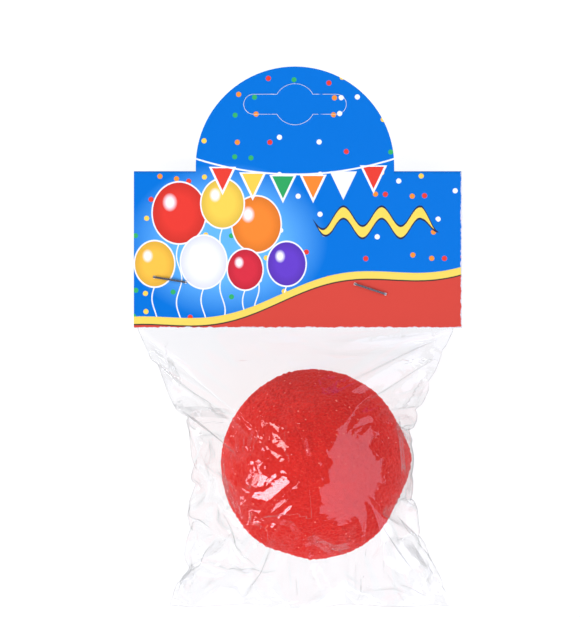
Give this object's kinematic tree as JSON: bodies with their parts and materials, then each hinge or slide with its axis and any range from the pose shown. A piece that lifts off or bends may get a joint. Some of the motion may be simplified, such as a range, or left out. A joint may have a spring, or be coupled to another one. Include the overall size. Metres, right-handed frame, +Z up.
{
  "type": "clown nose in a clear bag with a header card",
  "caption": "Slit red sponge ball worn over the nose, in a clear film bag whose neck is stapled into a folded printed card with a hanging slot.",
  "frame": {"origin": "the point of the supporting surface straight below the middle of the ball, at the middle of the bag's flat resting patch", "axes": "+Z up and out of the pack's printed front, +Y along the surface towards the card's tab, +X to the right of the printed front"},
  "size_m": [0.087, 0.139, 0.0516],
  "materials": {
    "sponge": "open-cell foam, matt",
    "film": "clear, glossy, creased",
    "card": "printed and varnished",
    "staple_wire": "drawn wire"
  },
  "bodies": {
    "root": {"nose": "sponge", "bag": "film", "header_card": "card", "staple_left": "staple_wire", "staple_right": "staple_wire"}
  },
  "joints": []
}
